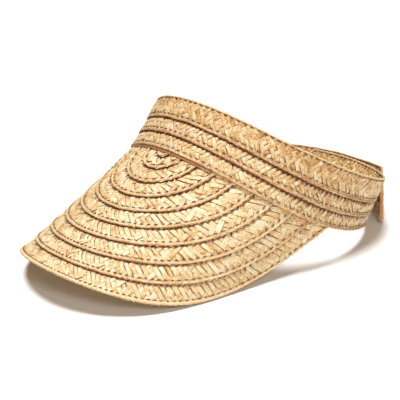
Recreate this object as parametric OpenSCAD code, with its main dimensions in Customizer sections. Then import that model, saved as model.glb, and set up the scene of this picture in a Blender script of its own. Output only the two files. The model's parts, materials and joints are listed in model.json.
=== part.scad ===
// Braided straw sun visor: a wide curled brim of concentric braid rows, a three-row
// head band open at the crown, and an overlapping closure tab at the back.
// The visor stands the way it rests on a table: front raised on the two low points of
// the brim's sides, back on the band's lower edge.
// Axes: front is -Y, the wearer's left is +X, up is +Z. Origin: middle of the footprint.

/* [Head opening] */
// Length round the inside of the head opening, at the band's lower edge
head_circumference = 575; // [540:5:610]
// Width of the opening over its depth
opening_ratio = 0.885; // [0.82:0.005:0.94]
// How much wider the front half is than the back half
opening_egg = 0.024; // [0:0.002:0.04]
// How square the oval is at its four shoulders
opening_square = 0.017; // [0:0.001:0.03]

/* [Head band] */
// Height of the band at the forehead
band_height = 39.2; // [37:0.1:42]
// Extra height at the sides
band_side_gain = 6; // [3:0.1:7]
// Height lost towards the back
band_back_loss = 4.7; // [2:0.1:5]
// Lean of the band's wall out from upright: mean, then 1, 2 and 3 waves round the head
band_lean = [-4, -0.7, -3.6, 2.6]; // [-6:0.1:4]
// Rise of the band's lower edge from front to back: 1, 2 and 3 half waves
band_rise = [27.6, -18, -0.3]; // [-20:0.1:30]
// Heights of the two row joints over the band's height, at the front
row_joint_front = [0.588, 0.294]; // [0.25:0.001:0.62]
// The same two joints at the back
row_joint_back = [0.508, 0.247]; // [0.22:0.001:0.55]

/* [Brim] */
// Radius of the small crescent that starts the brim, measured on the flat brim
crescent_radius = 6; // [5.5:0.1:7]
// Radius of the first full row's outer edge, on the flat brim
first_row_radius = 17.5; // [16.5:0.1:19]
// Exposed width of a brim row
row_width = 13.62; // [13:0.02:14]
// How much wider each row is than the one before it
row_width_gain = 0.16; // [0:0.02:0.2]
// Radius of the seam that joins brim and band, on the flat brim
seam_radius = 101; // [99:0.5:104]
// Fall of the brim away from the band: at the front, then its change to the side
brim_slope = [61.8, 5.4, 1.9]; // [0:0.1:65]
// How the brim's straight lines fan out: per degree round the head, and its cubic part
brim_fan = [0.313, -0.6415]; // [-0.7:0.001:0.35]
// Lift of the brim's outer part: mean, then 1 and 2 waves round the head
brim_curl = [-0.5, 3.8, 4.3]; // [-1:0.1:5]

/* [Braid] */
// Thickness of the straw braid
braid_t = 1.3; // [1:0.05:1.35]
// Gap left between two rows that lap
lap_gap = 0.15; // [0.12:0.01:0.2]
// Width of each row that is hidden under the row before it
lap = 3.5; // [2.5:0.1:4]
// Height of the brim's inner edge that is tucked up inside the band
tuck = 4.5; // [3:0.1:5]
// Distance of a line of stitches from the edge it holds
stitch_inset = 2.4; // [2:0.1:3]
// Width of the stitching thread
thread_w = 0.7; // [0.5:0.1:0.9]
// Width of the doubling row under the brim's outer edge
facing_w = 10.5; // [9:0.1:12]

/* [Sweatband] */
// Thickness of the sweatband tape
sweatband_t = 1; // [0.8:0.1:1.2]
// Height of its lower edge above the band's lower edge
sweatband_low = 5.6; // [5.3:0.1:7]
// Distance of its upper edge below the band's upper edge
sweatband_top_gap = 5.5; // [4:0.1:8]
// Angles round the head where it starts and ends, front being 0
sweatband_span = [-138, 150]; // [-139:1:152]

/* [Closure] */
// Angle where the outer layer bends open, on the wearer's right
tab_root = 145; // [143:1:147]
// Angle where the outer layer ends, counted on round the back
tab_end = 222; // [210:1:224]
// Angle where the inner layer ends, counted from the wearer's left
inner_end = 200; // [196:1:201]
// Distance of the outer layer outside the inner one
tab_stand_off = 4.4; // [4.2:0.1:5]
// How far the lower corner of the tab's end stands out beyond that
tab_flare = 7.6; // [6:0.1:11]
// How far the outer layer's lower edge rides up past the inner one
tab_lift = 4.3; // [4:0.1:5.4]
// The same for its upper edge
tab_lift_top = 2; // [1.5:0.1:5]
// Angle by which the upper corner of the tab's end stops short of the lower one
tab_slant = 12; // [0:0.5:13]
// Width of the hook and loop tapes
tape_w = 11; // [9:0.5:12]
// Thickness of each tape
tape_t = 0.8; // [0.6:0.05:0.85]

/* [Resting pose] */
// Angle by which the front is raised
rest_tilt = 31.75; // [31:0.05:33]

/* [Hidden] */

straw_light = [0.90, 0.75, 0.50];
straw_mid = [0.84, 0.66, 0.41];
straw_dark = [0.70, 0.51, 0.30];
thread_colour = [0.48, 0.33, 0.20];
tape_colour = [0.62, 0.50, 0.36];
cotton = [0.86, 0.76, 0.60];

brim_step = 2.5;      // degrees between stations along a brim row
band_step = 3;        // degrees between stations along a band row
LAST_ROW = 9;
TOP = 0; MIDDLE = 1; BOTTOM = 2;
thread_t = 0.35;
thread_gap = 0.1;

// ---- small vector tools ----
function unit(v) = v / norm(v);
function mix(a, b, k) = a + (b - a) * k;
function ease(k) = let (q = min(1, max(0, k))) q * q * (3 - 2 * q);

// ---- the head opening: an oval whose lower edge rises and falls ----
// Ramanujan's perimeter of an ellipse with half axes ratio and 1
unit_perimeter = let (h = pow((opening_ratio - 1) / (opening_ratio + 1), 2))
    PI * (opening_ratio + 1) * (1 + 3 * h / (10 + sqrt(4 - 3 * h)));
half_depth = head_circumference / unit_perimeter;
half_width = half_depth * opening_ratio;

function rise(t) = band_rise[0] * (1 - cos(t)) / 2 + band_rise[1] * (1 - cos(2 * t)) / 2
    + band_rise[2] * (1 - cos(3 * t)) / 2;
function foot(t) = let (r = 1 + opening_square * pow(sin(2 * t), 2))
    [half_width * sin(t) * (1 + opening_egg * cos(t)) * r, -half_depth * cos(t) * r, rise(t)];
function along(t) = unit(foot(t + 0.05) - foot(t - 0.05));
function outward(t) = let (d = along(t)) unit([d[1], -d[0], 0]);
function lean(t) = band_lean[0] + band_lean[1] * cos(t) + band_lean[2] * cos(2 * t)
    + band_lean[3] * cos(3 * t);
function wall_up(t) = outward(t) * sin(lean(t)) + [0, 0, cos(lean(t))];
function wall_out(t) = outward(t) * cos(lean(t)) - [0, 0, sin(lean(t))];
function height(t) = band_height - band_back_loss * (1 - cos(t)) / 2
    + band_side_gain * (1 - cos(2 * t)) / 2;
function joint_height(t, k) = k < 0 ? height(t) : k > 1 ? 0
    : height(t) * mix(row_joint_front[k], row_joint_back[k], (1 - cos(t)) / 2);

// The outer layer (negative angles) swings out round the inner one. Its free end flares
// at the bottom, lifts a little and is cut at a slant; up is 0 at its lower edge and 1 at
// its upper one.
function stand_off(t) = t < 0 ? tab_stand_off * ease((-t - 116) / 34) : 0;
function flare(t) = t < 0 ? tab_flare * ease((-t - 178) / (tab_end - 178)) : 0;
function lift(t, up) = t < 0 ? mix(tab_lift, tab_lift_top, up) * ease((-t - 125) / 45) : 0;
function slant(t, up) = t < 0 ? tab_slant * up * ease((-t - 180) / (tab_end - 180)) : 0;

// A point of the band: angle, height up the wall, distance out from its face
function wall(t0, h, w) = let (up = h / height(t0), t = t0 + slant(t0, up))
    foot(t) + wall_up(t) * (h + lift(t0, up))
    + wall_out(t) * (w + stand_off(t0) + flare(t0) * (1 - up));

// ---- the brim: straight lines that leave the seam and fan out ----
function fan(t) = brim_fan[0] * t + brim_fan[1] * t * pow(t / 90, 2);
function fall(t) = brim_slope[0] + brim_slope[1] * pow(sin(t), 2) + brim_slope[2] * pow(sin(t), 4);
function ray(t) = [sin(fan(t)) * cos(fall(t)), -cos(fan(t)) * cos(fall(t)), -sin(fall(t))];
function curl(t) = brim_curl[0] + brim_curl[1] * cos(t) + brim_curl[2] * cos(2 * t);
// The brim's inner edge starts just inside the band's wall
function seam(t) = foot(t) - outward(t) * (braid_t + 0.1);
function sheet(t, s) = seam(t) + ray(t) * s + [0, 0, curl(t) * pow(s / 100, 2)];
function sheet_out(t, s) = unit(cross(sheet(t, s + 0.1) - sheet(t, s - 0.1),
                                      sheet(t + 0.1, s) - sheet(t - 0.1, s)));
// Below s = 0 the brim turns up inside the band, along the bottom row's sloping face
function tuck_up(t) = wall_up(t) - wall_out(t) * (braid_t + lap_gap) / joint_height(t, 1);
function brim(t, s, level) = s > 0.01 ? sheet(t, s) + sheet_out(t, s) * level
    : seam(t) + tuck_up(t) * -s + (s < -0.01 ? wall_out(t)
        : unit(wall_out(t) + sheet_out(t, 0))) * level;

// Length of the seam from the front to an angle, and back again
seam_table = [for (i = 0, l = 0; i <= 220; l = l + norm(foot((i + 1) / 2) - foot(i / 2)), i = i + 1)
    [i / 2, l]];
function seam_length(t) = sign(t) * lookup(abs(t), seam_table);
function seam_angle(l) = lookup(l, [for (p = seam_table) [p[1], p[0]]]);

// The flat brim: the seam is an arc, and each row's edge is a circle round its middle
function flat_seam(t) = let (q = seam_length(t) / seam_radius * 180 / PI)
    [sin(q), cos(q) - 1] * seam_radius;
function flat_ray(t) = let (q = seam_length(t) / seam_radius * 180 / PI + asin(ray(t) * along(t)))
    [sin(q), cos(q)];
// Distance from the seam at which the line at angle t meets the circle of radius r
function reach(t, r) = let (e = flat_seam(t), k = e * flat_ray(t))
    sqrt(max(0, k * k - e * e + r * r)) - k;
function reach_or_tuck(t, r) = let (e = norm(flat_seam(t)))
    e < r ? reach(t, r) : max(-tuck, 2 * (r - e));
function row_radius(i) = i < 0 ? 0 : i == 0 ? crescent_radius
    : first_row_radius + row_width * (i - 1) + row_width_gain / 2 * pow(i - 1, 2);
// Angle at which a circle of the flat brim runs into the seam
function end_angle(r) = seam_angle(2 * seam_radius * asin(r / 2 / seam_radius) * PI / 180);

// Each row slopes, so that its outer edge lies over the next row. Where the row before
// it covers it, it keeps the slope of that row.
function row_level(i, t, s) = i == 0 ? 0 : let (
        e = norm(flat_seam(t)),
        b = reach(t, row_radius(i)),
        c = reach(t, row_radius(i - 1)))
    e >= row_radius(i - 1)
        ? (e - row_radius(i)) / (row_radius(i) - row_radius(i - 1)) * (braid_t + lap_gap)
            * (1 - max(0, s) / b)
        : s >= c ? -(braid_t + lap_gap) * (b - s) / (b - c)
        : row_level(i - 1, t, s) - braid_t - lap_gap;
function brim_at(i, t, s, d) = brim(t, s, row_level(i, t, s) + d);

// Angles from -te to te: close together at the ends, and again where the row before ends
function ends_near(t) = [t - 1.1, t - 0.4, t];
function half_stations(te, before) = let (g = [brim_step:brim_step:te - 1.8]) concat(
    [for (t = g) if (t < before - 1.8) t], before > 2 ? ends_near(before) : [],
    [for (t = g) if (t > before + 0.6) t], ends_near(te));
function stations(te, before = 0) = let (h = half_stations(te, before), n = len(h))
    concat([for (i = [n - 1:-1:0]) -h[i]], [0], h);
function steps(a, b, step) = let (n = ceil((b - a) / step)) [for (k = [0:n]) a + (b - a) * k / n];

// ---- solids ----
// Joins rings of points into one closed solid. Each ring runs along one face and back
// along the other, so its ends close as a row of quads.
module loft(rings) {
    n = len(rings[0]);
    last = len(rings) - 1;
    polyhedron(
        points = [for (r = rings) each r],
        faces = concat(
            [for (i = [0:last - 1], j = [0:n - 1]) let (k = (j + 1) % n)
                each [[i * n + j, i * n + n + k, i * n + k], [i * n + j, i * n + n + j, i * n + n + k]]],
            [for (j = [0:n / 2 - 2])
                each [[j, n - 2 - j, n - 1 - j], [j, j + 1, n - 2 - j]]],
            [for (j = [0:n / 2 - 2]) let (o = last * n)
                each [[o + j, o + n - 1 - j, o + n - 2 - j], [o + j, o + n - 2 - j, o + j + 1]]]));
}

// A brim row: its rings, then the solid. Each ring bends at the seam and at the edge of
// the row before.
function row_ring(i, t) = let (
        a = i == 0 ? -tuck : reach_or_tuck(t, row_radius(i - 1) - lap),
        e = norm(flat_seam(t)),
        k = max(0, a + 0.3),
        c = i > 0 && e < row_radius(i - 1) ? max(k + 0.3, reach(t, row_radius(i - 1))) : k + 0.3,
        b = max(c + 0.3, reach(t, row_radius(i))))
    concat([for (s = [a, k, c, b]) brim_at(i, t, s, 0)],
           [for (s = [b, c, k, a]) brim_at(i, t, s, -braid_t)]);
function row_end(i) = end_angle(row_radius(i) - 1.2);
function row_rings(i) = [for (t = stations(row_end(i), i == 0 ? 0 : row_end(i - 1))) row_ring(i, t)];
module brim_row(i) { color(i % 2 == 0 ? straw_light : straw_mid) placed() loft(row_rings(i)); }

// A strip that follows a circle of the flat brim, on row i between two depths
module brim_strip(i, r1, r2, d1, d2) {
    loft([for (t = stations(end_angle(r1 - 1.5))) let (a = reach(t, r1), b = reach(t, r2))
        [brim_at(i, t, a, d2), brim_at(i, t, b, d2), brim_at(i, t, b, d1), brim_at(i, t, a, d1)]]);
}

// A strip round the band, between two heights given as functions of the angle
module wall_strip(ts, low, high) {
    loft([for (t = ts) let (p = low(t), q = high(t))
        [wall(t, q[0], q[2]), wall(t, p[0], p[2]), wall(t, p[0], p[1]), wall(t, q[0], q[1])]]);
}

// One of the band's three rows; the lower edge lies over the row below
module band_row(k, ts) {
    slope = function (t) k == TOP ? 0
        : (braid_t + lap_gap) / (joint_height(t, k - 1) - joint_height(t, k));
    wall_strip(ts,
        function (t) [joint_height(t, k), -braid_t, 0],
        function (t) let (h = joint_height(t, k - 1) + (k == TOP ? 0 : lap),
                          w = -slope(t) * (h - joint_height(t, k)))
            [h, w - braid_t, w]);
}

// A line of thread on a band row's face, a given height above that row's lower edge
module band_thread(k, h, ts) {
    at = function (t, g) let (y = (k < 0 ? height(t) : joint_height(t, k)) + g,
                              w = k <= 0 ? 0 : -g * (braid_t + lap_gap)
                                  / (joint_height(t, k - 1) - joint_height(t, k)))
        [y, w + thread_gap, w + thread_gap + thread_t];
    wall_strip(ts, function (t) at(t, h - thread_w / 2), function (t) at(t, h + thread_w / 2));
}

// A folded binding over the cut end of the band: a channel that runs up the wall
module end_binding(t_end, side) {
    tape = 0.35;
    deep = t_end - 2.6 * side;
    wrap = t_end + side;
    near = t_end + side * 0.4;
    gap = side > 0 ? 0.1 : 0.4;
    // It is deep where the rows lap, and thin up the top row
    levels = [[0, -2.55 * braid_t], [0.3, -2.55 * braid_t], [0.65, -2.55 * braid_t],
              [0.68, -braid_t - gap], [1, -braid_t - gap]];
    section = function (back) [[deep, gap + tape], [wrap, gap + tape], [wrap, back - tape],
        [deep, back - tape], [deep, back], [near, back], [near, gap], [deep, gap]];
    order = side > 0 ? [0:7] : [7:-1:0];
    caps = side > 0 ? [[0, 1, 6], [0, 6, 7], [1, 2, 5], [1, 5, 6], [2, 3, 4], [2, 4, 5]]
        : [[7, 6, 1], [7, 1, 0], [6, 5, 2], [6, 2, 1], [5, 4, 3], [5, 3, 2]];
    polyhedron(
        points = [for (l = levels) each [for (q = order) let (p = section(l[1])[q])
            wall(p[0], l[0] * height(t_end), p[1])]],
        faces = concat(
            [for (i = [0:3], j = [0:7]) let (k = (j + 1) % 8)
                each [[i * 8 + j, i * 8 + 8 + k, i * 8 + k], [i * 8 + j, i * 8 + 8 + j, i * 8 + 8 + k]]],
            [for (f = caps) side > 0 ? f : [for (v = f) 7 - v]],
            [for (f = caps) let (g = side > 0 ? f : [for (v = f) 7 - v]) [for (v = [2:-1:0]) g[v] + 32]]));
}

// ---- resting pose ----
function tilted(p) = [p[0], p[1] * cos(rest_tilt) + p[2] * sin(rest_tilt),
                      p[2] * cos(rest_tilt) - p[1] * sin(rest_tilt)];
root_angles = steps(-tab_root, inner_end, band_step);
tab_angles = steps(-tab_end, -tab_root, band_step);
brim_rim = [for (r = row_rings(LAST_ROW)) each [tilted(r[3]), tilted(r[4])]];
band_foot = [for (t = concat(tab_angles, root_angles)) each
    [tilted(wall(t, 0, 0)), tilted(wall(t, 0, -braid_t))]];
band_brow = [for (t = concat(tab_angles, root_angles)) tilted(wall(t, height(t), 0))];
floor_z = min([for (p = concat(brim_rim, band_foot)) p[2]]);
front_y = min([for (p = brim_rim) p[1]]);
back_y = max([for (p = band_brow) p[1]]);
module placed() {
    translate([0, -(front_y + back_y) / 2, -floor_z]) rotate([-rest_tilt, 0, 0]) children();
}

// ---- brim ----
module brim_edge_facing() {
    color(straw_dark) placed() let (r = row_radius(LAST_ROW))
        brim_strip(LAST_ROW, r - facing_w, r - 0.6, -2 * braid_t - 2 * lap_gap, -braid_t - 2 * lap_gap);
}
module brim_stitching() {
    color(thread_colour) placed() for (i = [1:LAST_ROW]) let (r = row_radius(i) - stitch_inset)
        brim_strip(i, r - thread_w / 2, r + thread_w / 2, thread_gap, thread_gap + thread_t);
}

// ---- band ----
module band_row_top() { color(straw_mid) placed() band_row(TOP, root_angles); }
module band_row_middle() { color(straw_light) placed() band_row(MIDDLE, root_angles); }
module band_row_bottom() { color(straw_mid) placed() band_row(BOTTOM, root_angles); }
module band_stitching() {
    ts = steps(-tab_root + 1, inner_end - 4, 5);
    color(thread_colour) placed() {
        band_thread(-1, -stitch_inset, ts);
        band_thread(TOP, stitch_inset, ts);
        band_thread(MIDDLE, stitch_inset, ts);
    }
}
module brim_seam_stitching() {
    color(thread_colour) placed() band_thread(BOTTOM, stitch_inset,
        steps(-tab_root + 1, inner_end - 4, 5));
}
module inner_end_binding() { color(straw_dark) placed() end_binding(inner_end, 1); }
module loop_tape() {
    color(tape_colour) placed() wall_strip(steps(152, 192, 4),
        function (t) [joint_height(t, 0) + 2.9, thread_gap, thread_gap + tape_t],
        function (t) [joint_height(t, 0) + 2.9 + tape_w, thread_gap, thread_gap + tape_t]);
}
module sweatband() {
    face = -2 * braid_t - 0.9;
    color(cotton) placed() wall_strip(steps(sweatband_span[0], sweatband_span[1], 4),
        function (t) [sweatband_low, face - sweatband_t, face],
        function (t) [height(t) - sweatband_top_gap, face - sweatband_t, face]);
}
module sweatband_stitching() {
    face = -2 * braid_t - 0.9 - sweatband_t - thread_gap;
    color(thread_colour) placed() wall_strip(steps(sweatband_span[0] + 1, sweatband_span[1] - 1, 5),
        function (t) [height(t) - sweatband_top_gap - 1.6, face - thread_t, face],
        function (t) [height(t) - sweatband_top_gap - 1.6 + thread_w, face - thread_t, face]);
}

// ---- closure tab ----
module tab_row_top() { color(straw_mid) placed() band_row(TOP, tab_angles); }
module tab_row_middle() { color(straw_light) placed() band_row(MIDDLE, tab_angles); }
module tab_row_bottom() { color(straw_mid) placed() band_row(BOTTOM, tab_angles); }
module tab_stitching() {
    // The thread follows the rows' own stations, so that it stays clear of their faces
    ts = [for (i = [1:len(tab_angles) - 2]) tab_angles[i]];
    color(thread_colour) placed() {
        band_thread(-1, -stitch_inset, ts);
        band_thread(TOP, stitch_inset, ts);
        band_thread(MIDDLE, stitch_inset, ts);
        band_thread(BOTTOM, stitch_inset, ts);
    }
}
module tab_end_binding() { color(straw_dark) placed() end_binding(-tab_end, -1); }
module hook_tape() {
    face = -braid_t - thread_gap;
    color(tape_colour) placed() wall_strip([for (t = tab_angles) if (t >= -210 && t <= -164) t],
        function (t) [joint_height(t, 0) + lap + 0.5, face - tape_t, face],
        function (t) [joint_height(t, 0) + lap + 0.5 + tape_w - 1, face - tape_t, face]);
}

brim_row(0);  // brim_row_0
brim_row(1);  // brim_row_1
brim_row(2);  // brim_row_2
brim_row(3);  // brim_row_3
brim_row(4);  // brim_row_4
brim_row(5);  // brim_row_5
brim_row(6);  // brim_row_6
brim_row(7);  // brim_row_7
brim_row(8);  // brim_row_8
brim_row(9);  // brim_row_9
brim_edge_facing();
brim_stitching();
band_row_top();
band_row_middle();
band_row_bottom();
band_stitching();
brim_seam_stitching();
inner_end_binding();
loop_tape();
sweatband();
sweatband_stitching();
tab_row_top();
tab_row_middle();
tab_row_bottom();
tab_stitching();
tab_end_binding();
hook_tape();
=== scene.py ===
import json

import bpy
import numpy as np
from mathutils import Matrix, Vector


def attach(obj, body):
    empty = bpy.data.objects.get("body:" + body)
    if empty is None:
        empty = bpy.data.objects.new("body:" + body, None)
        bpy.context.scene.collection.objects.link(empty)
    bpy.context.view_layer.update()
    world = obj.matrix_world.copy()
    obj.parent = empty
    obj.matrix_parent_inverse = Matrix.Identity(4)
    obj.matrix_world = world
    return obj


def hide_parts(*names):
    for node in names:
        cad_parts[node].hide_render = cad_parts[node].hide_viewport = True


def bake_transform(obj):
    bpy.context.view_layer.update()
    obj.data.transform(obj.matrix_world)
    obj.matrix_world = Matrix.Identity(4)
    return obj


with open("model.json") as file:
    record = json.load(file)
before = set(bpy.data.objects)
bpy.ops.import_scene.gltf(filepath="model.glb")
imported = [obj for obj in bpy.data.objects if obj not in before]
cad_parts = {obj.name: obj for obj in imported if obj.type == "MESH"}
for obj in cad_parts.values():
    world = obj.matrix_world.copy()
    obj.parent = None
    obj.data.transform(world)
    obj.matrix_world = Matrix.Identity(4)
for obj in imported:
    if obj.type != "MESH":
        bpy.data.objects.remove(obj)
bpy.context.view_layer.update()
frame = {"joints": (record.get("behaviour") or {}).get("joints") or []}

# A braided straw sun visor. Every length is in mm and every angle in degrees, in the
# frame in which the visor is worn, until placed() brings a point into the row frame.
# t is the angle round the head: 0 at the front, 180 at the back, positive towards +x.
# h is the height up the band's wall and w the distance out from its face. s is the
# distance out along the brim from the seam that joins it to the band.
rng = np.random.default_rng(11)

# ---- the same driving values as the CAD part ----
# the opening: its length round, width over depth, egg shape and squareness
HEAD, RATIO, EGG, SQUARE = 575.0, 0.885, 0.024, 0.017
BAND_HEIGHT, SIDE_GAIN, BACK_LOSS = 39.2, 6.0, 4.7
# lean of the wall and rise of its lower edge, as waves round the head
LEAN = (-4.0, -0.7, -3.6, 2.6)
RISE = (27.6, -18.0, -0.3)
# heights of the two joints between the band's rows, over the band's height
JOINT_FRONT, JOINT_BACK = (0.588, 0.294), (0.508, 0.247)
# the brim's rows, as circles of its flat shape
CRESCENT, FIRST_ROW, ROW_WIDTH, ROW_GAIN, SEAM_R = 6.0, 17.5, 13.62, 0.16, 101.0
SLOPE, FAN, CURL = (61.8, 5.4, 1.9), (0.313, -0.6415), (-0.5, 3.8, 4.3)
BRAID_T, LAP_GAP, LAP, TUCK, FACING_W = 1.3, 0.15, 3.5, 4.5, 10.5
SWEAT_T, SWEAT_LOW, SWEAT_TOP_GAP, SWEAT_SPAN = 1.0, 5.6, 5.5, (-138.0, 150.0)
TAB_END, INNER_END = 222.0, 200.0
# how the outer layer of the overlap stands off the inner one
STAND_OFF, FLARE, LIFT, LIFT_TOP, SLANT = 4.4, 7.6, 4.3, 2.0, 12.0
REST_TILT, REST_SHIFT = 31.75, (0.0, 36.762, 27.8313)
STEP = BRAID_T + LAP_GAP
TOP, BOTTOM = 0, 2
LAST_ROW = 9

# ---- values of the visual pieces alone ----
STITCH_IN = 2.9                          # from a row's edge to its stitches
TOP_NOMINAL, ROW_NOMINAL = 17.6, 14.9    # widths of the band's rows that set their plait
SWEAT_NOMINAL = 29.5                     # width of the sweatband's tape before it is curved
HINGE_FROM, HINGE_TO = -137.0, -153.0    # the stretch of band that bends as the tab opens
MARGIN_LOW = -1.5                        # lower edge of the margin behind the band's edge
MARGIN_SPAN, MARGIN_CORD_SPAN = 46, 27   # how far it and its cord reach round the head


def sd(a):
    return np.sin(np.radians(a))


def cd(a):
    return np.cos(np.radians(a))


def vec(*parts):
    """Vectors from their parts, which are numbers or arrays."""
    return np.stack(np.broadcast_arrays(*parts), -1).astype(float)


def length(v):
    return np.linalg.norm(v, axis=-1)


def unit(v):
    return v / np.maximum(length(v), 1e-12)[..., None]


def col(a):
    """The array with one more axis, to multiply vectors."""
    return np.asarray(a, float)[..., None]


def ease(k):
    """A smooth step from 0 at k = 0 to 1 at k = 1."""
    q = np.clip(k, 0, 1)
    return q * q * (3 - 2 * q)


def steady(value):
    """A function of place that has the same value everywhere."""
    return lambda x, *others: value + 0 * x


# ---- the head opening and the band's wall ----
def _half_depth():
    """Half the depth of the ellipse that is HEAD round, by Ramanujan's formula."""
    h = ((RATIO - 1) / (RATIO + 1)) ** 2
    return HEAD / (np.pi * (RATIO + 1) * (1 + 3 * h / (10 + np.sqrt(4 - 3 * h))))


HALF_DEPTH = _half_depth()
HALF_WIDTH = HALF_DEPTH * RATIO


def foot(t):
    """The lower edge of the band's outer face."""
    r = 1 + SQUARE * sd(2 * t) ** 2
    z = (RISE[0] * (1 - cd(t)) / 2 + RISE[1] * (1 - cd(2 * t)) / 2
         + RISE[2] * (1 - cd(3 * t)) / 2)
    return vec(HALF_WIDTH * sd(t) * (1 + EGG * cd(t)) * r, -HALF_DEPTH * cd(t) * r, z)


def along(t):
    return unit(foot(t + 0.05) - foot(t - 0.05))


def outward(t):
    d = along(t)
    return unit(vec(d[..., 1], -d[..., 0], 0))


def lean(t):
    return LEAN[0] + LEAN[1] * cd(t) + LEAN[2] * cd(2 * t) + LEAN[3] * cd(3 * t)


def wall_up(t):
    return outward(t) * col(sd(lean(t))) + vec(0, 0, cd(lean(t)))


def wall_out(t):
    return outward(t) * col(cd(lean(t))) - vec(0, 0, sd(lean(t)))


def height(t):
    return BAND_HEIGHT - BACK_LOSS * (1 - cd(t)) / 2 + SIDE_GAIN * (1 - cd(2 * t)) / 2


def joint_height(t, k):
    """Height of row k's lower edge; the band's upper edge for k = -1."""
    if k < 0:
        return height(t)
    if k > 1:
        return 0 * t
    return height(t) * (JOINT_FRONT[k] + (JOINT_BACK[k] - JOINT_FRONT[k]) * (1 - cd(t)) / 2)


def wall(t0, h, w):
    """A point of the band. Negative angles past the sides are the outer layer of the overlap."""
    t0, h, w = np.broadcast_arrays(*(np.asarray(x, float) for x in (t0, h, w)))
    outer, up = t0 < 0, h / height(t0)
    t = t0 + np.where(outer, SLANT * up * ease((-t0 - 180) / (TAB_END - 180)), 0)
    off = np.where(outer, STAND_OFF * ease((-t0 - 116) / 34), 0)
    flare = np.where(outer, FLARE * ease((-t0 - 178) / (TAB_END - 178)), 0)
    lift = np.where(outer, (LIFT + (LIFT_TOP - LIFT) * up) * ease((-t0 - 125) / 45), 0)
    return foot(t) + wall_up(t) * col(h + lift) + wall_out(t) * col(w + off + flare * (1 - up))


# ---- the brim ----
def ray(t):
    """Direction in which the brim leaves the seam."""
    fan = FAN[0] * t + FAN[1] * t * (t / 90) ** 2
    fall = SLOPE[0] + SLOPE[1] * sd(t) ** 2 + SLOPE[2] * sd(t) ** 4
    return vec(sd(fan) * cd(fall), -cd(fan) * cd(fall), -sd(fall))


def seam(t):
    return foot(t) - outward(t) * (BRAID_T + 0.1)


def sheet(t, s):
    """The brim's upper face."""
    curl = CURL[0] + CURL[1] * cd(t) + CURL[2] * cd(2 * t)
    return seam(t) + ray(t) * col(s) + vec(0, 0, curl * (s / 100) ** 2)


def sheet_out(t, s):
    along_s = sheet(t, s + 0.1) - sheet(t, s - 0.1)
    return unit(np.cross(along_s, sheet(t + 0.1, s) - sheet(t - 0.1, s)))


def brim(t, s, level):
    """A point of the brim; below s = 0 it turns up inside the band."""
    up = wall_up(t) - wall_out(t) * col(STEP / np.maximum(joint_height(t, 1), 1))
    tucked = seam(t) + up * col(-s) + wall_out(t) * col(level)
    return np.where(col(s) > 0, sheet(t, s) + sheet_out(t, s) * col(level), tucked)


# length of the band's foot from the front to each angle
_arc_t = np.arange(0, 111, 0.5)
_arc_l = np.concatenate([[0], np.cumsum(length(np.diff(foot(_arc_t), axis=0)))])


def flat_seam(t):
    """The seam on the flat brim, where it is an arc of radius SEAM_R."""
    q = np.sign(t) * np.interp(np.abs(t), _arc_t, _arc_l) / SEAM_R
    return vec(np.sin(q), np.cos(q) - 1) * SEAM_R


def flat_ray(t):
    q = (np.sign(t) * np.interp(np.abs(t), _arc_t, _arc_l) / SEAM_R
         + np.arcsin((ray(t) * along(t)).sum(-1)))
    return vec(np.sin(q), np.cos(q))


def reach(t, r):
    """Distance along the ray at t to the flat brim's circle of radius r."""
    e = flat_seam(t)
    k = (e * flat_ray(t)).sum(-1)
    return np.sqrt(np.maximum(0, k * k - (e * e).sum(-1) + r * r)) - k


def row_radius(i):
    """Radius of row i's outer edge on the flat brim."""
    if i == 0:
        return CRESCENT
    return FIRST_ROW + ROW_WIDTH * (i - 1) + ROW_GAIN / 2 * (i - 1) ** 2


def row_level(i, t, s):
    """How far a row lies below the brim's own sheet, so that each row laps the next."""
    if i == 0:
        return np.zeros(np.broadcast(t, s).shape)
    e = length(flat_seam(t))
    r0, r1 = row_radius(i - 1), row_radius(i)
    b, c = reach(t, r1), reach(t, r0)
    ended = (np.minimum(0, (e - r1) / (r1 - r0)) * STEP
             * (1 - np.maximum(0, s) / np.maximum(b, 0.01)))
    clear = -STEP * (b - s) / np.maximum(b - c, 0.01)
    return np.where(e >= r0, ended, np.where(s >= c, clear, row_level(i - 1, t, s) - STEP))


def placed(p):
    """Into the row frame, in metres."""
    c, s = cd(REST_TILT), sd(REST_TILT)
    p = np.asarray(p, float)
    q = vec(p[..., 0], p[..., 1] * c + p[..., 2] * s, p[..., 2] * c - p[..., 1] * s)
    return (q + np.array(REST_SHIFT)) / 1000


# ---- a strip: the middle surface of a braid or tape ----
class Strip:
    """u runs along the strip and v across it from its visible edge, both in mm. field is
    positive where the strip is kept, and place is the angle round the head. n is the normal
    and k the length along the surface for each mm of u."""

    def __init__(self, u, v, points, field, place):
        self.u, self.v, self.p, self.field, self.place = u, v, points, field, place
        du, dv = np.gradient(points, u, axis=0), np.gradient(points, v, axis=1)
        self.n, self.k = unit(np.cross(du, dv)), length(du)
        self.width = v[-1] - v[0]

    def at(self, u, v):
        """Point, normal, k, field and place."""
        x = np.clip((u - self.u[0]) / (self.u[1] - self.u[0]), 0, len(self.u) - 1.001)
        y = np.clip((v - self.v[0]) / (self.v[1] - self.v[0]), 0, len(self.v) - 1.001)
        i, j = x.astype(int), y.astype(int)
        a, b = x - i, y - j

        def mixed(g):
            aa, bb = (col(a), col(b)) if g.ndim == 3 else (a, b)
            return ((g[i, j] * (1 - aa) + g[i + 1, j] * aa) * (1 - bb)
                    + (g[i, j + 1] * (1 - aa) + g[i + 1, j + 1] * aa) * bb)
        return (mixed(self.p), unit(mixed(self.n)), mixed(self.k), mixed(self.field),
                mixed(self.place))


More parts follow.
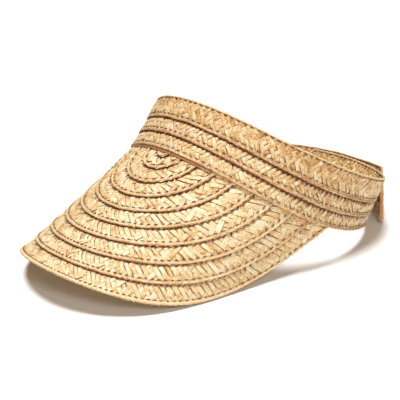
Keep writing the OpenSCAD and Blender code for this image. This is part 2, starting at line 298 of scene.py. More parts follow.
def brim_strip(i, r_out, r_in, level):
    """The brim between two circles of its flat shape, a given depth below row i."""
    across = max(4, int(r_out - r_in) + 1)
    v = np.linspace(0, r_out - r_in, across)
    ts = np.arange(-100, 100.01, 0.1)
    e, fr = flat_seam(ts), flat_ray(ts)
    k = (e * fr).sum(-1)
    tables = []
    for r in r_out - v:
        disc = k * k - (e * e).sum(-1) + r * r
        s = np.sqrt(np.maximum(disc, 0)) - k
        good = (disc > 0) & (s > -TUCK - 1.5)
        mid = len(ts) // 2
        left, right = mid, mid
        while left > 0 and good[left - 1]:
            left -= 1
        while right < len(ts) - 1 and good[right + 1]:
            right += 1
        part = slice(left, right + 1)
        x = e[part] + fr[part] * s[part, None]
        tables.append((np.arctan2(x[:, 0], x[:, 1]), ts[part], s[part]))
    widest = max(tb[0].max() for tb in tables)
    r_mid = (r_out + r_in) / 2
    count = max(20, int(2 * widest * r_out))
    phi = np.linspace(-widest, widest, count)
    t, s, outside = (np.zeros((count, across)) for _ in range(3))
    for j, (ph, tt, ss) in enumerate(tables):
        t[:, j], s[:, j] = np.interp(phi, ph, tt), np.interp(phi, ph, ss)
        outside[:, j] = (phi < ph[0]) | (phi > ph[-1])
    points = brim(t, s, row_level(i, t, s) + level)
    field = np.where(outside > 0, -1.0, s + TUCK)
    return Strip(phi * r_mid, v, points, field, t)


def wall_band(low, high, nominal, w, t0=-223.5, t1=201.5):
    """A strip round the band's wall between two heights, w(t, h) out from its face."""
    t = np.arange(t0, t1 + 0.01, 0.5)
    u = np.concatenate([[0], np.cumsum(length(np.diff(foot(t), axis=0)))])
    even = np.linspace(0, u[-1], int(u[-1]))
    t = np.interp(even, u, t)
    v = np.linspace(0, nominal, max(4, int(nominal) + 1))
    tt, vv = np.meshgrid(t, v, indexing="ij")
    h = low(tt) + (high(tt) - low(tt)) * vv / nominal
    return Strip(even, v, wall(tt, h, w(tt, h)), np.ones(tt.shape), tt)


def band_row(k):
    """Row k of the band. Each row's upper edge lies behind the row above it."""
    def depth(t, h):
        if k == TOP:
            return -BRAID_T / 2 + 0 * h
        gap = joint_height(t, k - 1) - joint_height(t, k)
        return -(h - joint_height(t, k)) * STEP / gap - BRAID_T / 2
    lap, nominal = (0, TOP_NOMINAL) if k == TOP else (LAP, ROW_NOMINAL)
    return wall_band(lambda t: joint_height(t, k), lambda t: joint_height(t, k - 1) + lap,
                     nominal, depth)


# ---- meshes from swept rings ----
class Bag:
    """Collects closed tubes for one piece. Each vertex has fibre, its place in the straw;
    tone, how pale it is; and its painted shade, how far its colour is darkened to stand in for
    the shade that falls in gaps, creases and undersides of the weave."""

    def __init__(self):
        self.v, self.fibre, self.tone, self.dusk, self.faces = [], [], [], [], []
        self.kinds, self.count = [], 0

    def tube(self, rings, fibre, tone, dusk, kind=0):
        """rings: loops of points along the tube. kind: which of the piece's materials."""
        n, m = rings.shape[:2]
        if n < 2 or length(np.diff(rings.mean(1), axis=0)).sum() < 0.15:
            return
        a = np.arange(n - 1)[:, None] * m
        j, k = np.arange(m)[None], (np.arange(m)[None] + 1) % m
        quads = np.stack([a + j, a + k, a + m + k, a + m + j], -1).reshape(-1, 4) + self.count
        self.faces += quads.tolist()
        self.faces.append([self.count + x for x in range(m - 1, -1, -1)])
        self.faces.append([self.count + (n - 1) * m + x for x in range(m)])
        self.kinds += [kind] * (len(quads) + 2)
        self.v.append(placed(rings.reshape(-1, 3)))
        self.fibre.append(fibre.reshape(-1, 3))
        dusk = dusk if np.ndim(dusk) > 1 else col(dusk)
        self.tone.append(np.broadcast_to(col(tone), (n, m)).ravel())
        self.dusk.append(np.broadcast_to(dusk, (n, m)).ravel())
        self.count += n * m

    def piece(self, name, materials, slot, body=None):
        mesh = bpy.data.meshes.new(name)
        mesh.from_pydata(np.concatenate(self.v), [], self.faces)
        for key, data in (("tone", self.tone), ("dusk", self.dusk)):
            made = mesh.attributes.new(key, "FLOAT", "POINT")
            made.data.foreach_set("value", np.concatenate(data).astype(np.float32))
        made = mesh.attributes.new("fibre", "FLOAT_VECTOR", "POINT")
        made.data.foreach_set("vector", np.concatenate(self.fibre).astype(np.float32).ravel())
        for m in materials:
            mesh.materials.append(m)
        mesh.polygons.foreach_set("material_index", np.array(self.kinds, np.int32))
        mesh.polygons.foreach_set("use_smooth", np.ones(len(self.faces), bool))
        mesh.update()
        obj = bpy.data.objects.new(name, mesh)
        bpy.context.scene.collection.objects.link(obj)
        if body:
            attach(obj, body)
        return obj


def kept_runs(value, *arrays):
    """The stretches of the arrays where value is positive, cut exactly where it is 0."""
    kept = (value > 0).astype(int)
    edge = np.flatnonzero(np.diff(np.concatenate([[0], kept, [0]])))
    for a, b in zip(edge[::2], edge[1::2]):
        out = []
        for x in arrays:
            parts = [x[a:b]]
            if a > 0:
                q = value[a] / (value[a] - value[a - 1])
                parts.insert(0, (x[a] + (x[a - 1] - x[a]) * q)[None])
            if b < len(value):
                q = value[b - 1] / (value[b - 1] - value[b])
                parts.append((x[b - 1] + (x[b] - x[b - 1]) * q)[None])
            out.append(np.concatenate(parts))
        yield out


def wander(n, size, spread):
    """n random values of about that spread, which vary smoothly over size samples."""
    knots = rng.normal(0, spread, n // size + 3)
    return np.interp(np.arange(n) / size, np.arange(len(knots)), knots)


def frames(p, n):
    """Width and height directions of a path that lies on a surface with normals n."""
    t = unit(np.gradient(p, axis=0))
    b = unit(np.cross(n, t))
    return b, np.cross(t, b)


# a strand's section: three fibre bundles side by side, with creases and edges darkened by
# painted shade
LENS = np.array([(-0.5, 0), (-0.3, -0.40), (0.3, -0.40), (0.5, 0), (0.36, 0.38), (0.17, 0.26),
                 (0, 0.46), (-0.17, 0.26), (-0.36, 0.38)])
CREASE_SHADE = np.array([0.52, 0.05, 0.05, 0.52, 0, 0.40, 0, 0.40, 0])


def over_under(up, j, table):
    """Heights of a strand along its zigzag. up: where it heads inwards. j: half crossings
    from the outer edge. table: at each crossing, 1 where the strand that heads inwards lies
    on top, -1 where it dives. Between two crossings it runs from one to the next."""
    i = np.arange(len(j))
    z = np.where(i % 2 == 0, np.where(up, 1, -1) * table[i // 2, j // 2], 0.0)
    near = (np.roll(z, 1) + np.roll(z, -1)) / 2
    return np.where(i % 2 == 0, z, near * np.where(np.abs(near) == 1, 1.12, 1))


def zigzag(strip, k, count, step, run_on, hem):
    """Strand k's way to and fro across a strip: u, v, whether it heads inwards, and its half
    crossings from the outer edge."""
    n = int((strip.u[-1] - strip.u[0]) / (step * run_on))
    q = (np.arange(n) + 4 * k) % (4 * count)
    up = q < 2 * count
    j = np.where(up, q, 4 * count - q)
    v = hem + j * step * (strip.width - 2 * hem) / strip.width + wander(n, 4, 0.20)
    u = strip.u[0] + step * run_on * np.arange(n) + wander(n, 4, 0.34)
    return u, v, up, j


def tuck_under(off, dusk, past, shy):
    """Hides a plait's covered edge and paints the shadow that the covering row casts on it.
    past: distance past the edge of the row that covers it.
    """
    # the strands dip before that edge and rise again behind it
    off = off - 0.4 * ease((past + shy) / (0.55 * shy)) + 0.85 * ease((past - 0.2) / 1.2)
    # painted shadow: the dark strip is widest on a strand's flanks and never reaches its
    # underside
    reach_out = shy * np.where(LENS[:, 1] > 0.1, 0.75, np.where(LENS[:, 1] < 0, -9, 1.75))
    return off, np.maximum(dusk, ease((col(past) + reach_out) / (0.45 * shy)))


def plait(bags, strip, signs, tone, thick=0.68, swing=0.42, crown=0.45, covered=None, hem=0.9,
          run_on=0.85, shy=2.3, fade=0.0, stray=0.18):
    """Weaves a flat plait over a strip. bags: [(bag, keep)], where keep(field, place) is
    positive on the stretch that the bag takes. signs: one for each crossing, from the
    outer edge in. thick: of a strand. swing: how far it rises and dives. crown: how far the
    row swells between its stitches and its lap. covered: distance from the outer edge at
    which the next row starts to hide this one. hem: how far the strands turn back inside
    the edges. run_on: how far a strand runs on for each mm it goes across. shy: width of
    the painted shadow along the covered edge. fade: painted shade, a loss of tone in the far
    half of the row. stray: share of the crossings that lie the other way round."""
    w, count = strip.width, len(signs) + 1
    step = w / count / 2
    half_crossings = int((strip.u[-1] - strip.u[0]) / (step * run_on))
    flips = np.where(rng.random((half_crossings // 2 + 1, count + 1)) < stray, -1, 1)
    table = np.array([0.0, *signs, 0.0]) * flips
    for k in range(count):
        u, v, up, j = zigzag(strip, k, count, step, run_on, hem)
        n = len(u)
        p, nrm, scale, field, place = strip.at(u, v)
        z = over_under(up, j, table)
        groove = np.exp(-((v - STITCH_IN) / 0.8) ** 2)
        rise = crown * sd(180 * np.clip((v - STITCH_IN) / (w - LAP - STITCH_IN), 0, 1))
        off = z * swing * (1 - 0.35 * groove) + rise - 0.25 * groove + wander(n, 6, 0.05)
        # painted shade: a strand is darkened where it dives under the strand that crosses it
        buried = np.clip(-z[:, None] * np.sign(LENS[:, 1]), 0, 1) ** 2
        dusk = np.where(LENS[:, 1] < 0, 0.15, 0.5) * buried
        if covered is not None:
            off, dusk = tuck_under(off, dusk, v - covered, shy)
        p = p + nrm * col(off)
        b, up_dir = frames(p, nrm)
        pitch = 2 * w / count * run_on
        slant = np.sqrt(1 + (run_on * scale) ** 2)
        wide = 0.97 * pitch * scale / slant * (1 + wander(n, 5, 0.08))
        turns_back = (j == 0) | (j == 2 * count)
        wide = np.where(turns_back, wide * 0.75, wide)
        twist = wander(n, 8, 0.10)
        b, up_dir = b + up_dir * col(twist), up_dir - b * col(twist)
        rings = (p[:, None] + b[:, None] * (wide[:, None] * LENS[:, 0])[..., None]
                 + up_dir[:, None] * (thick * LENS[:, 1])[None, :, None])
        run = np.concatenate([[0], np.cumsum(length(np.diff(p, axis=0)))]) + rng.uniform(0, 400)
        fibre = np.stack(np.broadcast_arrays(run[:, None], LENS[:, 0][None] * 2.6,
                                             float(rng.uniform(0, 40))), -1)
        # fade is painted shade: it darkens the far half of the row
        shade = (tone - fade * ease((v / w - 0.45) / 0.2) + rng.normal(0, 0.04)
                 + wander(n, 4, 0.10))
        # painted shade in each strand's creases and along the groove of its stitches
        dusk = np.maximum(np.maximum(dusk, CREASE_SHADE), 0.45 * col(groove))
        for bag, keep in bags:
            for r, f, s, d in kept_runs(keep(field, place), rings, fibre, shade, dusk):
                bag.tube(r, f, s, d)


def cord_along(bags, strip, v, off, rx, ry, sides=8, every=1.5, tone=0.5, kind=0, twist=0.0,
               lobes=0.0, dusk=0.0, rough=0.03):
    """A cord or thread along a strip. v: its distance from the outer edge. off(u): its
    height over the strip. rx, ry: half its width and height. twist: radians for each mm.
    lobes: how far its two plies stand out. rough: how far it wanders."""
    n = int((strip.u[-1] - strip.u[0]) / every)
    u = strip.u[0] + every * np.arange(n + 1)
    n = len(u)
    vv = v + wander(n, 6, rough)
    p, nrm, _, field, place = strip.at(u, vv)
    p = p + nrm * col(off(u) + wander(n, 6, rough))
    b, up_dir = frames(p, nrm)
    ang = np.arange(sides) * 2 * np.pi / sides
    turned = ang[None] - twist * u[:, None]
    swell = 1 + lobes * np.cos(2 * turned)
    rings = (p[:, None] + b[:, None] * (rx * swell * np.cos(ang))[..., None]
             + up_dir[:, None] * (ry * swell * np.sin(ang))[..., None])
    fibre = np.stack(np.broadcast_arrays(u[:, None] + 0 * ang, turned * 0.8,
                                         float(rng.uniform(0, 40))), -1)
    shade = tone + wander(n, 8, 0.06)
    # painted shade: the side towards the strip's outer edge is darker, and so is the underside
    inward = np.sign(((strip.at(u, vv + 0.5)[0] - strip.at(u, vv)[0]) * b).sum(1))
    away = 0.1 - np.sin(ang[None]) * 0.6 - col(inward) * np.cos(ang)
    dusk = np.maximum(dusk, 0.5 * np.clip(away, 0, 1))
    for bag, keep in bags:
        for r, f, s, d in kept_runs(keep(field, place), rings, fibre, shade, dusk):
            bag.tube(r, f, s, d, kind)


def stitch_path(over, under, pitch=5.4, share=0.50):
    """Height of a running stitch: over for its visible share, then down through the braid."""
    def off(u):
        q = (u / pitch) % 1.0
        up = ease(q / 0.13) * (1 - ease((q - share) / 0.13))
        return under + (over - under) * up
    return off


def edge_cord(bags, strip, tone, lobes, rough):
    """The wrapped cord along a row's visible edge."""
    cord_along(bags, strip, 0.85, steady(0.15), 0.88, 0.85, every=1.1, tone=tone, kind=1,
               twist=2 * np.pi / 11.0, lobes=lobes, rough=rough)


def stitches(bags, strip, v, over, under, rx, ry):
    """A line of running stitches."""
    cord_along(bags, strip, v, stitch_path(over, under), rx, ry, sides=5, every=0.55)


def slab(bag, strip, u, v, half, fibre_scale, seed, tone):
    """A tape over a strip, closed round its edges. half(u, v) is half its thickness."""
    uu, vv = np.meshgrid(u, v, indexing="ij")
    p, n, _, _, _ = strip.at(uu, vv)
    rise = n * col(half(uu, vv))
    rings = np.concatenate([p + rise, (p - rise)[:, ::-1]], 1)
    fibre = vec(uu * fibre_scale[0], vv * fibre_scale[1], seed)
    fibre = np.concatenate([fibre, fibre[:, ::-1]], 1)
    bag.tube(rings[:, ::-1], fibre[:, ::-1], np.full(len(u), tone), np.zeros(len(u)))


# ---- materials ----
def nodes_of(name):
    m = bpy.data.materials.new(name)
    m.use_nodes = True
    return m, m.node_tree.nodes, m.node_tree.links, m.node_tree.nodes["Principled BSDF"]


def srgb(*c):
    c = np.array(c) / 255
    return (*np.where(c <= 0.04045, c / 12.92, ((c + 0.055) / 1.055) ** 2.4), 1.0)


GAP_SHADE = srgb(108, 46, 12)     # painted shade: the colour straw is darkened towards where shade falls in a gap


def straw(name, stops, rough, coat, bump):
    """A fibre material. stops: {tone: sRGB colour}. rough: least and most roughness."""
    m, nd, lk, out = nodes_of(name)

    def attribute(key):
        made = nd.new("ShaderNodeAttribute")
        made.attribute_name = key
        return made
    fibre, tone, dusk = attribute("fibre"), attribute("tone"), attribute("dusk")

    def noise(scale, detail, roughness):
        mp = nd.new("ShaderNodeMapping")
        mp.inputs["Scale"].default_value = scale
        tx = nd.new("ShaderNodeTexNoise")
        tx.inputs["Scale"].default_value = 1.0
        tx.inputs["Detail"].default_value = detail
        tx.inputs["Roughness"].default_value = roughness
        lk.new(fibre.outputs["Vector"], mp.inputs["Vector"])
        lk.new(mp.outputs["Vector"], tx.inputs["Vector"])
        return tx.outputs["Fac"]

    def maths(op, a, b):
        x = nd.new("ShaderNodeMath")
        x.operation = op
        for socket, value in zip(x.inputs, (a, b)):
            if isinstance(value, (int, float)):
                socket.default_value = value
            else:
                lk.new(value, socket)
        return x.outputs[0]

    def about_zero(value, gain):
        return maths("MULTIPLY", maths("SUBTRACT", value, 0.5), gain)

    # streaks along the fibre, broad patches from straw to straw, and small flecks
    streak = noise((0.10, 5.5, 1.0), 3.0, 0.65)
    patch = noise((0.22, 0.7, 1.3), 2.0, 0.5)
    fleck = noise((0.75, 1.9, 1.0), 2.0, 0.6)
    mixed = maths("ADD", about_zero(streak, 0.6),
                  maths("ADD", about_zero(patch, 0.4), about_zero(fleck, 1.6)))
    ramp = nd.new("ShaderNodeValToRGB")
    ramp.color_ramp.elements.remove(ramp.color_ramp.elements[1])
    for i, (at, colour) in enumerate(stops.items()):
        el = ramp.color_ramp.elements[0] if i == 0 else ramp.color_ramp.elements.new(at)
        el.position, el.color = at, srgb(*colour)
    lk.new(maths("ADD", tone.outputs["Fac"], mixed), ramp.inputs["Fac"])
    # painted shade: the straw's colour is mixed towards the dark gap colour by the painted shade
    # attribute
    mix = nd.new("ShaderNodeMix")
    mix.data_type = "RGBA"
    lk.new(maths("MULTIPLY", dusk.outputs["Fac"], 0.96), mix.inputs["Factor"])
    lk.new(ramp.outputs["Color"], mix.inputs["A"])
    mix.inputs["B"].default_value = GAP_SHADE
    lk.new(mix.outputs["Result"], out.inputs["Base Color"])
    rg = nd.new("ShaderNodeMapRange")
    rg.inputs["To Min"].default_value, rg.inputs["To Max"].default_value = rough
    lk.new(streak, rg.inputs["Value"])
    lk.new(rg.outputs["Result"], out.inputs["Roughness"])
    bp = nd.new("ShaderNodeBump")
    bp.inputs["Strength"].default_value = bump
    bp.inputs["Distance"].default_value = 0.00018
    lk.new(streak, bp.inputs["Height"])
    lk.new(bp.outputs["Normal"], out.inputs["Normal"])
    out.inputs["Coat Weight"].default_value = coat
    out.inputs["Coat Roughness"].default_value = 0.3
    out.inputs["Specular IOR Level"].default_value = 0.35
    return m


braid_straw = straw("braid_straw", {
    0.10: (178, 124, 66), 0.32: (223, 181, 119), 0.52: (243, 217, 164),
    0.74: (253, 240, 203), 0.95: (255, 250, 228)}, rough=(0.34, 0.58), coat=0.12, bump=0.5)
edge_straw = straw("edge_straw", {
    0.10: (168, 118, 70), 0.35: (206, 164, 114), 0.60: (234, 204, 156),
    0.95: (250, 230, 192)}, rough=(0.42, 0.62), coat=0.05, bump=0.7)
thread_mat = straw("stitch_thread", {
    0.1: (78, 48, 28), 0.5: (108, 72, 44), 0.9: (142, 102, 66)},
    rough=(0.55, 0.75), coat=0.0, bump=0.8)
binding_mat = straw("binding_raffia", {
    0.1: (150, 104, 62), 0.5: (200, 154, 104), 0.9: (234, 194, 144)},
    rough=(0.42, 0.62), coat=0.05, bump=0.8)
sweat_mat = straw("sweatband_cotton", {
    0.1: (196, 160, 116), 0.5: (216, 184, 140), 0.9: (232, 206, 166)},
    rough=(0.75, 0.9), coat=0.0, bump=0.9)
tape_mat = straw("fastener_nylon", {
    0.1: (150, 122, 88), 0.5: (176, 146, 108), 0.9: (198, 170, 130)},
    rough=(0.5, 0.7), coat=0.0, bump=0.6)


# which strand lies on top at each crossing, from the outer edge in
CORE = (1, -1)
MARGIN_PLAIT = (1, -1, 1)
ROW_PLAIT = (1, -1, -1, -1, 1)
BAND_PLAIT = (-1, -1, 1, 1, 1)
TOP_PLAIT = (-1, -1, -1, 1, -1, 1)
FACING_PLAIT = (1, 1, -1, -1)


# which stretch of a strip a bag takes
def inside(field, place):
    return field


def near_front(span):
    return lambda field, place: span - np.abs(place)


def on_root(field, place):
    return np.minimum(place - HINGE_FROM, INNER_END - place)


def on_hinge(field, place):
    return np.minimum(place - HINGE_TO, HINGE_FROM - place)


def on_tab(field, place):
    return np.minimum(place + TAB_END, HINGE_TO - place)


def on_sweatband(field, place):
    return np.minimum(place - SWEAT_SPAN[0] - 1, SWEAT_SPAN[1] - 1 - place)


# ---- the brim ----
def turned_margin(bag):
    """A narrow braid and cord that close the corner behind the band's lower edge."""
    margin = wall_band(steady(MARGIN_LOW), steady(TUCK), TUCK - MARGIN_LOW,
                       steady(-1.5 * BRAID_T - 0.1), -MARGIN_SPAN - 2, MARGIN_SPAN + 2)
    plait([(bag, near_front(MARGIN_SPAN))], margin, MARGIN_PLAIT, 0.4, crown=0, swing=0.3,
          hem=0.4)
    # painted shade: this cord is darkened to stand in for the shadow line along the seam
    cord_along([(bag, near_front(MARGIN_CORD_SPAN))], margin, 0.2, steady(1.6), 0.7, 0.7,
               every=1.1, tone=0.3, kind=1, dusk=0.55)


def brim_rows():
    thread = Bag()
    for i in range(LAST_ROW + 1):
        r_in = 0.4 if i == 0 else row_radius(i - 1) - LAP
        strip = brim_strip(i, row_radius(i), r_in, -BRAID_T / 2)
        bag = Bag()
        here = [(bag, inside)]
        if i == 0:
            plait(here, strip, CORE, 0.5, crown=0.2, swing=0.35, hem=0.5)
            turned_margin(bag)
        else:
            plait(here, strip, ROW_PLAIT, 0.54, covered=strip.width - LAP)
        if i == LAST_ROW:
            cord_along(here, strip, 1.05, steady(0.35), 1.15, 0.95, sides=10, every=0.9,
                       tone=0.62, kind=1, twist=2 * np.pi / 9.0, lobes=0.18)
        else:
            edge_cord(here, strip, tone=0.52, lobes=0.14, rough=0.10)
        obj = bag.piece(f"brim_row_{i}_plait", [braid_straw, edge_straw], "straw_braid", "visor")
        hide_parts(f"brim_row_{i}")
        if i > 0:
            stitches([(thread, inside)], strip, STITCH_IN, 0.70, -2.15, 0.36, 0.33)
    obj = thread.piece("brim_stitches", [thread_mat], "thread", "visor")
    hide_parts("brim_stitching")


def edge_facing():
    """The doubling row under the brim's outer edge."""
    r = row_radius(LAST_ROW)
    strip = brim_strip(LAST_ROW, r - 0.6, r - FACING_W, -1.5 * BRAID_T - 2 * LAP_GAP)
    bag = Bag()
    plait([(bag, inside)], strip, FACING_PLAIT, 0.45, crown=0.1, hem=0.5)
    obj = bag.piece("brim_edge_facing_plait", [braid_straw], "straw_braid", "visor")
    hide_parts("brim_edge_facing")


# ---- the band, with the stretch that bends and the tab ----
def hinge_ends():
    """Where the bend starts and ends at the band's mid height, square to the joint's axis."""
    axis = Vector(frame["joints"][0]["axis"]).normalized()
    mid_height, inset = 20.0, 1.5
    a, b = (Vector(placed(wall(t, mid_height, 0.0)))
            for t in (HINGE_FROM - inset, HINGE_TO + inset))
    d = b - a
    return a, a + d - axis * d.dot(axis)


def three_parts(name, bags, materials, slot, root_nodes, tab_nodes):
    """The pieces of one row or thread: on the visor, on the tab and across the bend."""
    root, hinge, tab = bags
    obj = root.piece(name, materials, slot, "visor")
    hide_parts(*root_nodes)
    obj = tab.piece(name.replace("band_", "tab_"), materials, slot, "closure_tab")
    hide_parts(*tab_nodes)
    obj = hinge.piece(name.replace("band_", "hinge_"), materials, slot)
    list(hinge_ends())
    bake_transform(obj)


def band_rows():
    keeps = (on_root, on_hinge, on_tab)
    thread, seam_thread = [Bag() for _ in keeps], Bag()
    threads = list(zip(thread, keeps))
    for k, name in enumerate(("top", "middle", "bottom")):
        strip = band_row(k)
        bags = [Bag() for _ in keeps]
        here = list(zip(bags, keeps))
        if k == TOP:
            plait(here, strip, TOP_PLAIT, 0.47, crown=0.5, run_on=0.80, fade=0.09)
        else:
            plait(here, strip, BAND_PLAIT, 0.47, crown=0.5, covered=strip.width - LAP,
                  run_on=0.80, shy=3.0)
        edge_cord(here, strip, tone=0.36, lobes=0.18, rough=0.14)
        if k == TOP:
            cord_along(here, strip, strip.width - 0.6, steady(0.0), 0.72, 0.82, every=1.1,
                       tone=0.56, kind=1, twist=2 * np.pi / 12.0, lobes=0.14, rough=0.10)
            stitches(threads, strip, strip.width - 1.75, 0.78, -0.7, 0.40, 0.36)
        three_parts(f"band_row_{name}_plait", bags, [braid_straw, edge_straw], "straw_braid",
                    [f"band_row_{name}"], [f"tab_row_{name}"])
        if k == BOTTOM:
            stitches([(seam_thread, on_root)], strip, STITCH_IN, 0.62, -2.4, 0.32, 0.32)
            stitches(threads[1:], strip, STITCH_IN, 0.68, -0.7, 0.34, 0.32)
        else:
            stitches(threads, strip, STITCH_IN, 0.68, -2.2, 0.34, 0.32)
    three_parts("band_stitches", thread, [thread_mat], "thread", ["band_stitching"],
                ["tab_stitching"])
    obj = seam_thread.piece("brim_seam_stitches", [thread_mat], "thread", "visor")
    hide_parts("brim_seam_stitching")


def sweatband():
    """A ribbed cotton tape with a firmer edge above and below."""
    strip = wall_band(steady(SWEAT_LOW), lambda t: height(t) - SWEAT_TOP_GAP, SWEAT_NOMINAL,
                      steady(-2 * BRAID_T - 0.9 - SWEAT_T / 2), *SWEAT_SPAN)

    def half(u, v):
        edge = np.minimum(v, SWEAT_NOMINAL - v)
        rib = 0.10 * np.cos(2 * np.pi * u / 1.44)
        hem = 0.16 * ((edge > 0.3) & (edge < 2.0))
        return np.where(edge < 0.1, 0.12, SWEAT_T / 2 - 0.14 + rib + hem)
    from_edge = np.array([0.0, 0.5, 1.2, 1.9, 2.4])
    v = np.concatenate([from_edge, np.linspace(5, SWEAT_NOMINAL - 5, 6),
                        SWEAT_NOMINAL - from_edge[::-1]])
    bag = Bag()
    slab(bag, strip, np.arange(strip.u[0], strip.u[-1], 0.36), v, half, (6, 0.4), 3.0, 0.5)
    obj = bag.piece("sweatband_tape", [sweat_mat], "sweatband", "visor")
    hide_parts("sweatband")
    thread = Bag()
    stitches([(thread, on_sweatband)], strip, SWEAT_NOMINAL - 1.25, -0.72, 0.62, 0.28, 0.28)
    obj = thread.piece("sweatband_stitches", [thread_mat], "thread", "visor")
    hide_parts("sweatband_stitching")


# ---- the closure: wrapped ends and fastener tapes ----
def end_binding(t_end, side, name, node, body):
    """Raffia wrapped over the band's cut end, knobby where each turn lies. side: 1 where the
    end points towards greater angles, -1 where it points towards smaller ones."""
    tall, wrap_pitch, half_t = height(np.array(t_end)), 2.1, 1.35
    share = np.arange(0, 1.0001, 0.35 / 36)     # of the band's height
    deep = np.where(share < 0.66, -2.4 * BRAID_T, -BRAID_T - 0.1)
    deep = np.convolve(np.pad(deep, 5, mode="edge"), np.ones(11) / 11, "valid")
    turn = np.abs(sd(180 * share * tall / wrap_pitch))
    ang = np.arange(14) * 2 * np.pi / 14
    x, y = (np.sign(q) * np.abs(q) ** 0.75 for q in (np.cos(ang), np.sin(ang)))
    mid_w, half_w = (0.5 + deep) / 2, (0.5 - deep) / 2
    puff = 0.88 + 0.16 * turn
    t = t_end - 0.7 * side + side * x[None] * half_t * puff[:, None]
    w = mid_w[:, None] + y[None] * (half_w * puff)[:, None]
    rings = wall(t, share[:, None] * tall + 0 * t, w)
    if side < 0:
        rings = rings[:, ::-1]
    fibre = vec(ang[None] * 3 + 0 * t, share[:, None] * 36 * 2.2 + 0 * t, 7.0)
    bag = Bag()
    # painted light and shade: each turn is paler on its crown and darker in the hollow between
    # turns
    bag.tube(rings[::-1], fibre, 0.45 + 0.25 * turn, 0.35 * (1 - turn) ** 2)
    obj = bag.piece(name, [binding_mat], "binding", body)
    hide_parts(node)


def hook():
    """The path of one nylon hook: along the tape, across it and out of it."""
    along_tape = np.array([0, 0, 0.05, 0.22, 0.4, 0.38])
    return along_tape, 0 * along_tape, np.array([0.1, 0.35, 0.5, 0.6, 0.48, 0.34])


def loop():
    """The path of one loop of the pile, which lies any way round."""
    lay = rng.uniform(0, 2 * np.pi)
    q = np.radians(np.linspace(0, 180, 6))
    wide = rng.uniform(0.3, 0.55)
    return (np.cos(lay) * np.cos(q) * wide, np.sin(lay) * np.cos(q) * wide,
            0.1 + np.sin(q) * rng.uniform(0.35, 0.6))


def tape(node, name, body, span, low, wide, face, out, pile, gap):
    """A fastener tape on the top row. low: its lower edge above the row's. face: how far out
    it lies. out: side its pile is on. pile: hook or loop. gap: from one to the next."""
    strip = wall_band(lambda t: joint_height(t, TOP) + low,
                      lambda t: joint_height(t, TOP) + low + wide, wide, steady(face), *span)

    def half(u, v):
        return np.where(np.minimum(v, wide - v) < 0.1, 0.06, 0.2 + 0.02 * np.cos(u * 4))
    v = np.array([0.0, 0.25, 1.0, wide / 2, wide - 1.0, wide - 0.25, wide])
    bag = Bag()
    slab(bag, strip, np.arange(strip.u[0], strip.u[-1], 1.2), v, half, (5, 1), 9.0, 0.35)
    ang = np.arange(4)[:, None] * np.pi / 2
    for a in np.arange(strip.u[0] + 1.0, strip.u[-1] - 1.0, gap):
        for c in np.arange(1.0, wide - 0.9, gap):
            u0, v0 = a + rng.normal(0, 0.12), c + rng.normal(0, 0.12)
            du, dv, rise = pile()
            p, n, _, _, _ = strip.at(u0 + du, v0 + dv)
            p = p + n * col(rise * out)
            t = unit(np.gradient(p, axis=0))
            b = unit(np.cross(t, [0.3, 0.2, 0.9]))
            e = np.cross(t, b)
            rings = p[:, None] + 0.09 * (b[:, None] * np.cos(ang) + e[:, None] * np.sin(ang))
            bag.tube(rings, vec(u0 + 0 * rings[..., 0], 0, 5.0),
                     np.full(6, 0.6 + rng.normal(0, 0.1)), np.zeros(6))
    obj = bag.piece(name, [tape_mat], "fastener_tape", body)
    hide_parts(node)


brim_rows()
edge_facing()
band_rows()
sweatband()
end_binding(INNER_END, 1, "inner_end_wrap", "inner_end_binding", "visor")
end_binding(-TAB_END, -1, "tab_end_wrap", "tab_end_binding", "closure_tab")
tape("loop_tape", "loop_tape_pile", "visor", (152, 192), low=2.9, wide=11.0, face=0.35, out=1,
     pile=loop, gap=1.0)
tape("hook_tape", "hook_tape_hooks", "closure_tab", (-208, -166), low=LAP + 0.5, wide=10.0,
     face=-BRAID_T - 0.3, out=-1, pile=hook, gap=1.3)

# ---- camera, floor and light, in metres in the row frame ----
CAMERA_AT, CAMERA_AIM = (0.51309, -0.472612, 0.29092), (-0.00447, -0.008222, 0.03093)
FLOOR_Z = -0.0008       # just below the lowest strand


def facing(at, aim):
    return (Vector(aim) - Vector(at)).to_track_quat("-Z", "Y").to_euler()


def add_camera():
    camera = bpy.data.objects.new("camera", bpy.data.cameras.new("camera"))
    camera.data.lens, camera.data.sensor_width = 91.67, 36.0
    camera.data.clip_start, camera.data.clip_end = 0.01, 20.0
    camera.location = CAMERA_AT
    camera.rotation_euler = facing(CAMERA_AT, CAMERA_AIM)
    bpy.context.scene.collection.objects.link(camera)
    bpy.context.scene.camera = camera


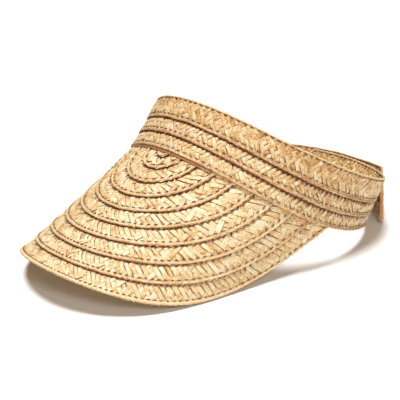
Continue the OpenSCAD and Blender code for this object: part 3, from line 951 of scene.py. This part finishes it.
def floor():
    bpy.ops.mesh.primitive_plane_add(size=14.0, location=(0, 0, FLOOR_Z))
    obj = bpy.context.object
    obj.name = "floor"
    m, _, _, out = nodes_of("floor_paper")
    out.inputs["Base Color"].default_value = (0.93, 0.93, 0.93, 1)
    out.inputs["Roughness"].default_value = 0.9
    obj.data.materials.append(m)


def backdrop():
    """A pale studio wall all round, which only the camera sees: it changes no light."""
    bpy.ops.mesh.primitive_cylinder_add(vertices=96, radius=6.5, depth=16.0, location=(0, 0, 0))
    obj = bpy.context.object
    obj.name = "backdrop"
    m, _, _, out = nodes_of("backdrop_paper")
    out.inputs["Base Color"].default_value = (0, 0, 0, 1)
    out.inputs["Emission Color"].default_value = (0.94, 0.93, 0.92, 1)
    out.inputs["Emission Strength"].default_value = 1.0
    obj.data.materials.append(m)
    obj.visible_diffuse = obj.visible_glossy = obj.visible_shadow = False


def lamp(name, at, aim, size, power, colour):
    data = bpy.data.lights.new(name, "AREA")
    data.shape, data.size, data.energy, data.color = "DISK", size, power, colour
    obj = bpy.data.objects.new(name, data)
    obj.location = at
    obj.rotation_euler = facing(at, aim)
    bpy.context.scene.collection.objects.link(obj)


def studio_light():
    """Warm light from all round, a soft sun overhead and two lamps near the camera."""
    world = bpy.data.worlds.new("studio")
    world.use_nodes = True
    world.node_tree.nodes["Background"].inputs["Color"].default_value = (1.0, 0.67, 0.43, 1)
    world.node_tree.nodes["Background"].inputs["Strength"].default_value = 0.17
    bpy.context.scene.world = world
    lamp("fill", (1.15, -0.6, 0.95), (0, 0, 0.05), 0.5, 6.8, (1.0, 0.98, 0.94))
    lamp("front", (0.75, -0.62, 0.16), (0.02, 0.02, 0.03), 0.3, 1.3, (1.0, 0.86, 0.70))
    sun = bpy.data.objects.new("key", bpy.data.lights.new("key", "SUN"))
    sun.data.energy, sun.data.angle = 3.5, np.radians(18.0)
    sun.rotation_euler = Vector((-0.10, -0.04, 1.0)).to_track_quat("Z", "Y").to_euler()
    bpy.context.scene.collection.objects.link(sun)


add_camera()
floor()
backdrop()
studio_light()
bpy.context.scene.view_settings.view_transform = "Standard"
